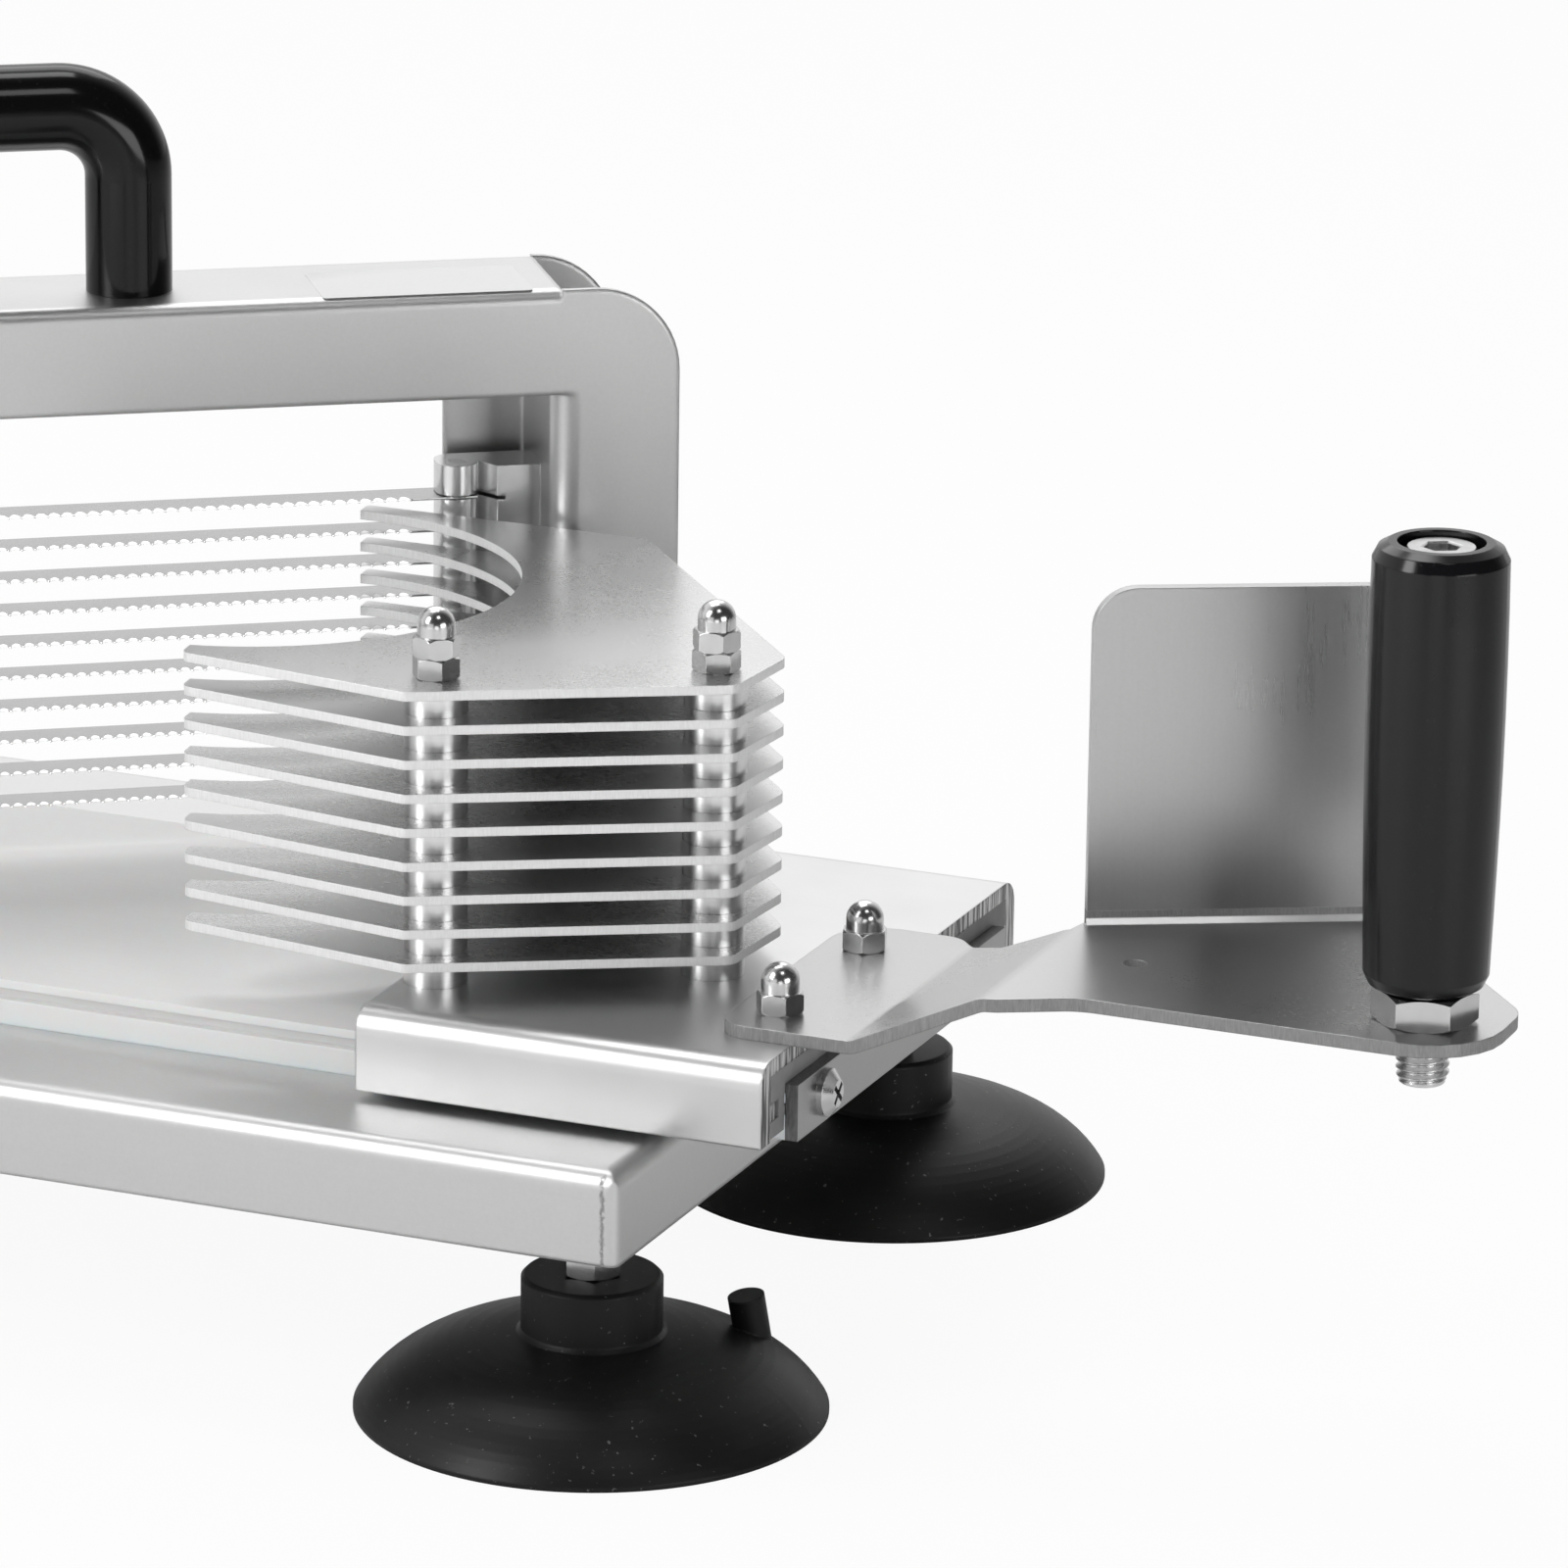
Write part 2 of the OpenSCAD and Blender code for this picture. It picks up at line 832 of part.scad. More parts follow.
module pusher_rods() {
  color(steel)
    for (p = rod_at)
      translate([p[0], p[1], web_under - 3]) {
        linear_extrude(3)
          hexagon(8);
        cylinder(r = rod_r, h = top_plate_z + 13 - web_under, $fn = 32);
      }
}

module rod_nuts() {
  color(steel)
    for (i = [0, 1])
      translate([rod_at[i][0], rod_at[i][1], top_plate_z])
        hex_nut(8, 4, rod_r + fit, 8 + 20 * i);
}

module rod_cap_nuts() {
  color(steel)
    for (i = [0, 1])
      translate([rod_at[i][0], rod_at[i][1], top_plate_z + 4])
        cap_nut(8, 9.5, rod_r + fit, 38 + 30 * i);
}

// Side view of the handle plate in x and z
module handle_profile() {
  slope = atan((handle_z - root_z) / (bend_x[1] - bend_x[0]));
  shift = handle_t * tan(slope / 2);
  polygon(rounded(
    [
      [bend_x[0] - 40, root_z], [bend_x[0], root_z], [bend_x[1], handle_z], [bend_x[1] + 110, handle_z],
      [bend_x[1] + 110, handle_z - handle_t], [bend_x[1] + shift, handle_z - handle_t],
      [bend_x[0] + shift, root_z - handle_t], [bend_x[0] - 40, root_z - handle_t]
    ],
    [0, 4, 6.5, 0, 0, 4, 6.5, 0]
  ));
}

module handle_plate() {
  color(steel)
    difference() {
      union() {
        intersection() {
          translate([0, 40, 0])
            rotate([90, 0, 0])
              linear_extrude(130)
                handle_profile();
          translate([0, 0, root_z - handle_t - 5])
            linear_extrude(40)
              polygon(rounded(handle_outline, handle_corners));
        }
        translate([guard_at[0], guard_at[1], handle_z - handle_t])
          rotate(guard_angle)
            guard();
      }
      for (p = bolt_at)
        translate([p[0], p[1], root_z - handle_t - 1])
          cylinder(r = rod_r + 0.1, h = handle_t + 2, $fn = 32);
      translate([238.2, -32.2, handle_z - handle_t - 1])
        cylinder(r = 2.2, h = handle_t + 2, $fn = 32);
      translate([grip_at[0], grip_at[1], handle_z - handle_t - 1])
        cylinder(r = 5, h = handle_t + 2, $fn = 48);
    }
}

// Section of the finger guard across its bend line
module guard_section() {
  bend = handle_t - 0.3;
  start = acos((guard_root - 0.3) / bend);
  top = guard_h + handle_t;
  outside = [
    for (i = [0 : 6])
      let (a = start * (1 - i / 6))
        [0.3 + bend * cos(a), bend * (1 - sin(a))]
  ];
  polygon(concat(
    [[-1.2, handle_t - 0.3], [0.4, 0.8]], outside, [[handle_t, top], [0, top], [0, handle_t + 1.2]]
  ));
}

// The finger guard, bent up from the plate's back edge
module guard() {
  corner_r = 8.3;
  height = guard_h + handle_t;
  intersection() {
    rotate([90, 0, 90])
      linear_extrude(guard_l)
        guard_section();
    translate([0, handle_t + 5, 0])
      rotate([90, 0, 0])
        linear_extrude(handle_t + 20) {
          square([guard_l, height - corner_r]);
          translate([corner_r, 0])
            square([guard_l - 2 * corner_r, height]);
          for (x = [corner_r, guard_l - corner_r])
            translate([x, height - corner_r])
              circle(r = corner_r, $fn = 64);
        }
  }
}

module handle_bolts() {
  color(steel)
    for (p = bolt_at)
      translate([p[0], p[1], web_under - 3]) {
        linear_extrude(3)
          hexagon(8);
        cylinder(r = rod_r, h = root_z + 9 - web_under, $fn = 32);
      }
}

module handle_cap_nuts() {
  color(steel)
    for (i = [0, 1])
      translate([bolt_at[i][0], bolt_at[i][1], root_z])
        cap_nut(8, 9.5, rod_r + fit, 5 + 42 * i);
}

module grip() {
  low = handle_z + 6.3;
  side = [
    for (i = [0 : 8])
      let (t = i / 8)
        [11.5 + (grip_r - 11.5) * sin(t * 125) , low + 3 + t * (grip_h - 6)]
  ];
  color(black)
    translate([grip_at[0], grip_at[1], 0])
      difference() {
        rotate_extrude($fn = 96)
          polygon(concat(
            [[0, low], [8.7, low], [10.6, low + 1]],
            side,
            [[11.4, low + grip_h - 1], [9.6, low + grip_h], [0, low + grip_h]]
          ));
        translate([0, 0, low - 1])
          cylinder(r = 5 + fit, h = grip_h, $fn = 64);
        translate([0, 0, low + grip_h - 7])
          cylinder(r = 8, h = 8, $fn = 64);
      }
}

module grip_spindle() {
  low = handle_z + 6.3;
  head_z = low + grip_h - 6.8;
  color(steel)
    translate([grip_at[0], grip_at[1], 0])
      difference() {
        union() {
          translate([0, 0, 75.2])
            cylinder(r1 = 4.2, r2 = 4.9, h = 0.8, $fn = 48);
          translate([0, 0, 76 - eps])
            cylinder(r = 4.9, h = low - 76 + 2 * eps, $fn = 48);
          translate([0, 0, low])
            cylinder(r = 5, h = head_z - low + eps, $fn = 64);
          translate([0, 0, head_z])
            cylinder(r = 6.5, h = 6, $fn = 64);
        }
        translate([0, 0, head_z + 2])
          linear_extrude(6)
            hexagon(6);
      }
}

module grip_nut() {
  color(steel)
    translate([grip_at[0], grip_at[1], handle_z])
      hex_nut(17, 6, 4.95, 16);
}

// Moves the part so that its origin is under the middle of its bounding box
module placed() {
  translate([-origin_x, 0, 0])
    children();
}

placed() base_pan();
placed() cup_at(1, -1, 43);  // cup_front_right
placed() cup_at(1, 1, 200);  // cup_back_right
placed() cup_at(-1, -1, 137);  // cup_front_left
placed() cup_at(-1, 1, -20);  // cup_back_left
placed() foot_studs();
placed() foot_nuts();
placed() foot_weld_nuts();
placed() slide_board();
placed() board_screws();
placed() end_strip();
placed() strip_screws();
placed() bridge();
placed() bridge_bolts();
placed() bridge_nuts();
placed() carry_handle();
placed() carry_handle_screws();
placed() blade_holder(1);  // blade_holder_right
placed() blade_holder(-1);  // blade_holder_left
placed() holder_screws();
placed() blade_pins();
placed() blade(1);  // blade_1
placed() blade(2);  // blade_2
placed() blade(3);  // blade_3
placed() blade(4);  // blade_4
placed() blade(5);  // blade_5
placed() blade(6);  // blade_6
placed() blade(7);  // blade_7
placed() blade(8);  // blade_8
placed() blade(9);  // blade_9
placed() blade(10);  // blade_10
placed() carriage();
placed() carriage_liner();
placed() pusher_plate(1);  // pusher_plate_1
placed() pusher_plate(2);  // pusher_plate_2
placed() pusher_plate(3);  // pusher_plate_3
placed() pusher_plate(4);  // pusher_plate_4
placed() pusher_plate(5);  // pusher_plate_5
placed() pusher_plate(6);  // pusher_plate_6
placed() pusher_plate(7);  // pusher_plate_7
placed() pusher_plate(8);  // pusher_plate_8
placed() pusher_plate(9);  // pusher_plate_9
placed() spacers();
placed() pusher_rods();
placed() rod_nuts();
placed() rod_cap_nuts();
placed() handle_plate();
placed() handle_bolts();
placed() handle_cap_nuts();
placed() grip();
placed() grip_spindle();
placed() grip_nut();
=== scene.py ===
# %% [markdown]
# # A tomato slicer, dressed for its picture
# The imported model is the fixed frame: every sheet, nut and blade already has its
# place there, in metres. This lesson gives each piece its finish, and makes again the
# few pieces whose fine form a solid model leaves out: ground teeth and a screw thread.

import math

import bpy
import numpy as np
from mathutils import Matrix, Vector


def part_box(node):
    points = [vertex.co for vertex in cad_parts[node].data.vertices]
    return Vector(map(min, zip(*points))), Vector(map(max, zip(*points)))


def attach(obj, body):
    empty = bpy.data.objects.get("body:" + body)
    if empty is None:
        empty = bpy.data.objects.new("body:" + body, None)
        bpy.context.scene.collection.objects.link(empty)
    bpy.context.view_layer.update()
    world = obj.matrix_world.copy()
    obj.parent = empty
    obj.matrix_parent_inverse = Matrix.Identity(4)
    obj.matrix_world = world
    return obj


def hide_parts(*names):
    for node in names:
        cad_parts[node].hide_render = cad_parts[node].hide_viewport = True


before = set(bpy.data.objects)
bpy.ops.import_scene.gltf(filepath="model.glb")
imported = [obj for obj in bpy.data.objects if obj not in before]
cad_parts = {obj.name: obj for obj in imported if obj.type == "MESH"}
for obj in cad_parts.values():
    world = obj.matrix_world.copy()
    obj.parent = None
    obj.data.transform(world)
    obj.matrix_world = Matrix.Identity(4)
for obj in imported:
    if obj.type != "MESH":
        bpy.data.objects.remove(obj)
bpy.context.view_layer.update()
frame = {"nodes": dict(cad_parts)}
nodes = frame["nodes"]

# %% [markdown]
# ## The camera
# A long lens stands to the right of the slicer and looks down on it a little. Its angles
# were worked out from the straight edges of the base, the bridge and the handle.

# %% Camera
LENS = 196.7
EYE = Vector((0.68675, -1.44886, 0.57126))
PITCH, YAW, ROLL = (math.radians(a) for a in (16.685, 22.228, 0.835))

ahead = Vector((-math.sin(YAW) * math.cos(PITCH), math.cos(YAW) * math.cos(PITCH), -math.sin(PITCH)))
level = Vector((math.cos(YAW), math.sin(YAW), 0))
down = ahead.cross(level)
right = level * math.cos(ROLL) - down * math.sin(ROLL)
down = level * math.sin(ROLL) + down * math.cos(ROLL)

lens = bpy.data.cameras.new("camera")
lens.lens = LENS
lens.sensor_width = 36
lens.clip_end = 20
camera = bpy.data.objects.new("camera", lens)
bpy.context.scene.collection.objects.link(camera)
camera.matrix_world = Matrix.Translation(EYE) @ Matrix((right, -down, -ahead)).transposed().to_4x4()
bpy.context.scene.camera = camera
print("camera at", tuple(round(c, 3) for c in EYE))

# %% [markdown]
# ## Sums on shader sockets
# A finish is mostly arithmetic on patterns. A small class wraps a socket, so that
# `1 - mask * 0.4` adds the Math nodes by itself and reads as the sum that it is.

# %% Value
class Value:
    """A shader socket on which Python's operators add Math nodes."""

    def __init__(self, nodes, socket):
        self.nodes, self.socket = nodes, socket

    def sum_with(self, operation, other=None):
        return self.nodes.node("Math", {"operation": operation}, self, other)

    def __add__(self, other): return self.sum_with("ADD", other)
    def __sub__(self, other): return self.sum_with("SUBTRACT", other)
    def __mul__(self, other): return self.sum_with("MULTIPLY", other)
    def __radd__(self, other): return self.sum_with("ADD", other)
    def __rsub__(self, other): return self.nodes.node("Math", {"operation": "SUBTRACT"}, other, self)
    def __abs__(self): return self.sum_with("ABSOLUTE")

    def over(self, low, high):
        """A soft step: 0 below low, 1 above high."""
        return self.nodes.node("MapRange", {"interpolation_type": "SMOOTHSTEP"}, self, low, high, 0.0, 1.0)


print("sums ready")

# %% [markdown]
# ## Nodes in one call
# Every other node is added by one method. `Nodes` works on any tree, such as the world's,
# and `Paint` adds what a material needs: noise in metres, relief and softened edges.

# %% Nodes and Paint
class Nodes:
    """A node tree with one method that adds any node."""

    def __init__(self, tree):
        self.tree = tree

    def node(self, kind, settings=None, *inputs, out=0, **named):
        """Adds a node, sets what it is told, then fills its sockets in order or by name."""
        made = self.tree.nodes.new("ShaderNode" + kind)
        for key, value in (settings or {}).items():
            setattr(made, key, value)
        pairs = list(enumerate(inputs)) + [(k.replace("_", " "), v) for k, v in named.items()]
        for key, value in pairs:
            if value is None:
                continue
            if isinstance(value, Value):
                self.tree.links.new(value.socket, made.inputs[key])
            else:
                made.inputs[key].default_value = value
        return Value(self, made.outputs[out])

    def blend(self, mask, low, high):
        """A colour that runs from low to high as mask runs from 0 to 1."""
        made = self.tree.nodes.new("ShaderNodeMix")
        made.data_type = "RGBA"
        for socket, value in ((made.inputs[0], mask), (made.inputs[6], low), (made.inputs[7], high)):
            if isinstance(value, Value):
                self.tree.links.new(value.socket, socket)
            else:
                socket.default_value = value if isinstance(value, (int, float)) else (*value, 1)
        return Value(self, made.outputs[2])


class Paint(Nodes):
    """A material with a Principled shader."""

    def __init__(self, name, **constants):
        self.material = bpy.data.materials.new(name)
        self.material.use_nodes = True
        super().__init__(self.material.node_tree)
        self.shader = self.tree.nodes["Principled BSDF"]
        for socket, value in constants.items():
            self.shader.inputs[socket.replace("_", " ")].default_value = value

    def place(self):
        return self.node("TexCoord", out="Object")

    def height_along(self, axis):
        """The place's own X, Y or Z."""
        return self.node("SeparateXYZ", None, self.place(), out=axis)

    def facing(self, axis):
        """How far the surface looks along an axis, from 0 to 1 and whichever way."""
        normal = self.node("TexCoord", out="Normal")
        return abs(self.node("VectorMath", {"operation": "DOT_PRODUCT"}, normal, axis, out="Value"))

    def noise(self, size, detail=2.0, stretch=(1, 1, 1), turn=0.0):
        """Cloudy noise whose blotches are about size metres, stretched by stretch."""
        scale = tuple(1 / (size * s) for s in stretch)
        at = self.node("Mapping", None, self.place(), Rotation=(0, 0, turn), Scale=scale)
        return self.node("TexNoise", None, Vector=at, Scale=1.0, Detail=detail)

    def bump(self, height, depth, normal=None):
        """Relief of depth metres where height runs from 0 to 1."""
        return self.node("Bump", None, Strength=1.0, Distance=depth, Height=height, Normal=normal)

    def soft_edges(self, radius):
        """A normal that rounds every edge by radius metres."""
        return self.node("Bevel", {"samples": 6}, Radius=radius)

    def feed(self, **sockets):
        """Links values to the shader's sockets and gives back the material."""
        for socket, value in sockets.items():
            self.tree.links.new(value.socket, self.shader.inputs[socket.replace("_", " ")])
        return self.material


print("helpers ready")

# %% [markdown]
# ## Brushed stainless steel
# The base, bridge, plates and guard are satin sheet. Under a lens such sheet shows fine
# streaks along the grain, a faint cloudiness, and rougher edges where it was cut. The
# streaks are noise squeezed across the grain. The cut edges are found by the normal.
# The pan's front corners are welded, and a thin dark line runs down each.
# On the handle plate and the end strip the cut edges are painted dark: a painted shade.

# %% Sheet steel
def grey(level):
    return (level, level, level)


def sheet_steel(
    name, grain, tone, rough, cut_axis=None, cut_below=None, edge_and_shade_tone=0.88,
    turn=0.0, streak=0.1, soft=0.0004, scatter=0.0, relief_depth=0.000012, seams=None,
):
    """Brushed sheet. grain stretches the streaks, and streak is their strength.

    cut_axis is the sheet's normal: faces that look elsewhere are cut edges, of the edge tone; a dark edge
    tone is painted shade.
    cut_below is the height above which nothing counts as a cut edge.
    scatter is the share of the surface that isn't bare metal.
    seams gives the middle and the reach in x of the two weld lines down the front corners.
    """
    paint = Paint(name, Metallic=1.0 - scatter)
    streaks = paint.noise(0.0005, 3.0, grain, turn)
    clouds = paint.noise(0.03, 3.0)
    mottle = paint.noise(0.0007, 3.0)
    shade = streaks * streak + clouds * 0.08 + (mottle - 0.5) * 0.2
    rough_value = rough + (streaks - 0.5) * 0.06 + (clouds - 0.5) * 0.08
    colour = paint.blend(shade + 0.4, grey(tone - 0.1), grey(tone + 0.12))
    relief = streaks * 0.6 + mottle * 0.4
    if cut_axis:
        cut = 1 - paint.facing(cut_axis).over(0.35, 0.6)
        if cut_below:
            cut = cut * (1 - paint.height_along("Z").over(cut_below, cut_below + 0.0002))
        speckle = paint.noise(0.00035, 2.0, (1, 1, 6))
        # A dark edge tone here paints shade on these faces; the light default is the bare cut metal.
        colour = paint.blend(cut, colour, paint.blend(speckle, grey(edge_and_shade_tone - 0.1), grey(edge_and_shade_tone + 0.1)))
        rough_value = rough_value + cut * 0.22
        relief = relief + cut * speckle * 2.5
        paint.feed(Metallic=1 - scatter - cut * 0.55)
    if seams:
        middle, reach = seams
        wobble = (paint.noise(0.0012, 3.0) - 0.5) * 0.0012
        seam = 1 - abs(abs(paint.height_along("X") - middle) - reach + wobble).over(0.00005, 0.0006)
        seam = seam * paint.facing((0, 1, 0)).over(0.5, 0.8) * mottle.over(0.3, 0.5)
        colour = paint.blend(seam * 0.7, colour, grey(0.15))
        relief = relief - seam * 6
    bump = paint.bump(relief, relief_depth, paint.soft_edges(soft))
    return paint.feed(Base_Color=colour, Roughness=rough_value, Normal=bump)


LONG = 60  # how far a streak runs along the grain, against its width
FINE_RELIEF = 0.000003
BLADE_TURN = math.radians(35.7)  # from the slide's direction to the blades
SEAM_FROM_SIDE = 0.0028  # from the pan's side to its weld line
GUARD_FOOT = 0.0895  # the height at which the finger guard stands up from its plate

pan_low, pan_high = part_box("base_pan")
pan_seams = ((pan_low.x + pan_high.x) / 2, (pan_high.x - pan_low.x) / 2 - SEAM_FROM_SIDE)
pan_steel = sheet_steel("pan_steel", (LONG, 1, 1), 0.64, 0.4, soft=0.0012, seams=pan_seams)
bridge_steel = sheet_steel(
    "bridge_steel", (LONG, 1, 1), 0.6, 0.36, turn=-BLADE_TURN, streak=0.12, soft=0.0015,
)
plate_steel = sheet_steel(
    "plate_steel", (3, 1, 1), 0.74, 0.28, cut_axis=(0, 0, 1),
    streak=0.05, soft=0.00025, scatter=0.06, relief_depth=FINE_RELIEF,
)
# The plate's edges and the guard's foot below GUARD_FOOT are painted dark: a painted shade.
handle_steel = sheet_steel(
    "handle_steel", (2, 1, LONG), 0.54, 0.29, cut_axis=(0, 0, 1), cut_below=GUARD_FOOT, edge_and_shade_tone=0.28,
    streak=0.12, relief_depth=FINE_RELIEF,
)
# The strip's top and end faces are painted near black: a painted shade and a painted reflection of the
# dark parts above.
strip_steel = sheet_steel("strip_steel", (1, LONG, 1), 0.34, 0.3, cut_axis=(1, 0, 0), edge_and_shade_tone=0.16)
holder_steel = sheet_steel("holder_steel", (1, 1, 30), 0.76, 0.25, streak=0.14)
print("sheet steels made")

# %% [markdown]
# ## Polished fasteners
# Nuts, cap nuts, studs and pins are bright steel with faint tool marks. They mirror the
# room, so only a low roughness and a little grime in the colour are needed. The blades
# are duller, with fine scratches along them, and their ground teeth are brighter.
# The near white of the ground teeth is partly their bright grinding and partly a painted highlight.

# %% Polished steel
def bright_steel(name, tone, rough):
    paint = Paint(name, Metallic=1.0)
    smudge = paint.noise(0.004, 3.0)
    marks = paint.noise(0.0003, 2.0, (1, 1, 6))
    colour = paint.blend(smudge, grey(tone - 0.12), grey(tone + 0.08))
    return paint.feed(
        Base_Color=colour,
        Roughness=rough + smudge * 0.1,
        Normal=paint.bump(marks, 0.000006, paint.soft_edges(0.0002)),
    )


def ground_steel(name):
    """Blade steel. The face attribute ground is 1 on the scallops, which are ground bright and painted
    near white, a painted highlight.
    """
    paint = Paint(name, Metallic=1.0)
    ground = paint.node("Attribute", {"attribute_name": "ground"}, out="Fac")
    scratches = paint.noise(0.0003, 3.0, (1, 40, 1), BLADE_TURN)
    clouds = paint.noise(0.01, 3.0)
    face = paint.blend(scratches * 0.3 + clouds * 0.5, grey(0.42), grey(0.52))
    # The ground faces are painted near white: a painted highlight of the teeth's glint, over their
    # brighter grinding.
    return paint.feed(
        Base_Color=paint.blend(ground, face, grey(0.97)),
        Roughness=0.2 + scratches * 0.08 + ground * 0.1,
        Normal=paint.bump(scratches, 0.000004),
    )


nut_steel = bright_steel("nut_steel", 0.66, 0.15)
blade_steel = ground_steel("blade_steel")
print("polished steels made")

# %% [markdown]
# ## Extruded aluminium
# The carriage is an extrusion: fine die lines run along it, and its sawn ends carry
# coarse slanting marks. The ends are found by their normal, and the marks are noise drawn
# out into slanted streaks.

# %% Aluminium
def extrusion(name):
    paint = Paint(name, Metallic=1.0)
    lines = paint.noise(0.0004, 2.0, (200, 1, 1))
    clouds = paint.noise(0.02, 3.0)
    sawn = paint.facing((1, 0, 0)).over(0.6, 0.9)
    slant = paint.node("Mapping", None, paint.place(), Rotation=(0.4, 0, 0), Scale=(200, 1500, 60))
    marks = paint.node("TexNoise", None, Vector=slant, Scale=1.0, Detail=2.0).over(0.42, 0.58)
    colour = paint.blend(sawn * marks, paint.blend(clouds, grey(0.64), grey(0.74)), grey(0.12))
    return paint.feed(
        Base_Color=colour,
        Roughness=0.35 + (lines - 0.5) * 0.05 + sawn * 0.1,
        Normal=paint.bump(lines * 0.04 + sawn * marks * 3.0, 0.00004, paint.soft_edges(0.0008)),
    )


def turned_aluminium(name):
    """Spacers turned on a lathe: fine rings round the post."""
    paint = Paint(name, Metallic=1.0)
    rings = paint.noise(0.0002, 2.0, (40, 40, 1))
    return paint.feed(
        Base_Color=paint.blend(rings, grey(0.72), grey(0.86)),
        Roughness=0.26 + rings * 0.08,
        Normal=paint.bump(rings, 0.000003, paint.soft_edges(0.0002)),
    )


carriage_metal = extrusion("carriage_metal")
spacer_metal = turned_aluminium("spacer_metal")
print("aluminium made")

# %% [markdown]
# ## Plastics and rubber
# The board is milled white polyethylene, waxy and slightly clear. The carry handle and
# the grip are glossy black mouldings. The suction feet are soft black rubber, which
# scatters light broadly and shows a bloom of dust.
# The liner in the carriage is painted dark grey: a painted shade of the carriage's inside.

# %% Plastics and rubber
def white_board(name):
    paint = Paint(name, Subsurface_Weight=0.25, Subsurface_Scale=0.004, IOR=1.5)
    mill = paint.noise(0.0006, 2.0, (30, 1, 1))
    clouds = paint.noise(0.03, 2.0)
    return paint.feed(
        Base_Color=paint.blend(clouds, (0.86, 0.86, 0.855), (0.9, 0.9, 0.895)),
        Roughness=0.22 + (mill - 0.5) * 0.12,
        Normal=paint.bump(mill, 0.00001, paint.soft_edges(0.0005)),
    )


# The liner's dark grey colour is a painted shade inside the carriage.
def shade_grey_plastic(name):
    paint = Paint(name, IOR=1.5, Specular_IOR_Level=0.3)
    clouds = paint.noise(0.004, 3.0)
    grain = paint.noise(0.0004, 2.0)
    return paint.feed(
        Base_Color=paint.blend(clouds, grey(0.2), grey(0.3)),
        Roughness=0.5 + grain * 0.15,
        Normal=paint.bump(grain, 0.00002, paint.soft_edges(0.0003)),
    )


def black_plastic(name, rough, tint, shine):
    """Moulded plastic: shallow waves in the gloss and a few specks of dust."""
    paint = Paint(name, IOR=1.5, Specular_IOR_Level=shine)
    waves = paint.noise(0.006, 2.0)
    dust = paint.noise(0.0008, 3.0).over(0.62, 0.8)
    return paint.feed(
        Base_Color=paint.blend(dust * 0.2, tint, (0.04, 0.04, 0.042)),
        Roughness=rough + dust * 0.08 + (waves - 0.5) * 0.03,
        Normal=paint.bump(waves, 0.000015, paint.soft_edges(0.0004)),
    )


def rubber(name):
    paint = Paint(name, IOR=1.45, Specular_IOR_Level=0.32)
    bloom = paint.noise(0.018, 4.0)
    pores = paint.noise(0.0005, 2.0)
    dust = paint.noise(0.0011, 4.0).over(0.67, 0.73)
    return paint.feed(
        Base_Color=paint.blend(dust * 0.5, paint.blend(bloom, grey(0.005), grey(0.009)), grey(0.2)),
        Roughness=0.36 + bloom * 0.1,
        Normal=paint.bump(pores * 0.4 + bloom * 0.6, 0.00004, paint.soft_edges(0.0006)),
    )


board_plastic = white_board("board_plastic")
shaded_liner_plastic = shade_grey_plastic("shaded_liner_plastic")
handle_plastic = black_plastic("handle_plastic", 0.13, (0.004, 0.004, 0.0043), 0.28)
grip_plastic = black_plastic("grip_plastic", 0.16, (0.006, 0.006, 0.007), 0.35)
cup_rubber = rubber("cup_rubber")
print("plastics and rubber made")

# %% [markdown]
# ## Dress the solid model
# Each node takes one of these finishes. A node's mesh isn't touched.

# %% Finishes by node
FINISHES = {
    pan_steel: ["base_pan"],
    bridge_steel: ["bridge"],
    plate_steel: [f"pusher_plate_{i}" for i in range(1, 10)],
    handle_steel: ["handle_plate"],
    strip_steel: ["end_strip"],
    holder_steel: ["blade_holder_right", "blade_holder_left"],
    nut_steel: [
        "foot_studs", "foot_nuts", "foot_weld_nuts", "board_screws", "strip_screws", "bridge_bolts",
        "bridge_nuts", "carry_handle_screws", "holder_screws", "blade_pins", "pusher_rods",
        "rod_nuts", "rod_cap_nuts", "handle_bolts", "handle_cap_nuts", "grip_spindle", "grip_nut",
    ],
    blade_steel: [f"blade_{i}" for i in range(1, 11)],
    carriage_metal: ["carriage"],
    spacer_metal: ["spacers"],
    board_plastic: ["slide_board"],
    shaded_liner_plastic: ["carriage_liner"],
    handle_plastic: ["carry_handle"],
    grip_plastic: ["grip"],
    cup_rubber: ["cup_front_right", "cup_back_right", "cup_front_left", "cup_back_left"],
}
for finish, names in FINISHES.items():
    for name in names:
        mesh = nodes[name].data
        mesh.materials.clear()
        mesh.materials.append(finish)
undressed = set(nodes) - {name for names in FINISHES.values() for name in names}
print("nodes dressed:", len(nodes) - len(undressed), "left:", sorted(undressed))

# %% [markdown]
# ## Surfaces from arrays
# A new piece is a grid of points. One helper closes the grid into a mesh, with one face
# over each end, so that the piece is a closed skin.

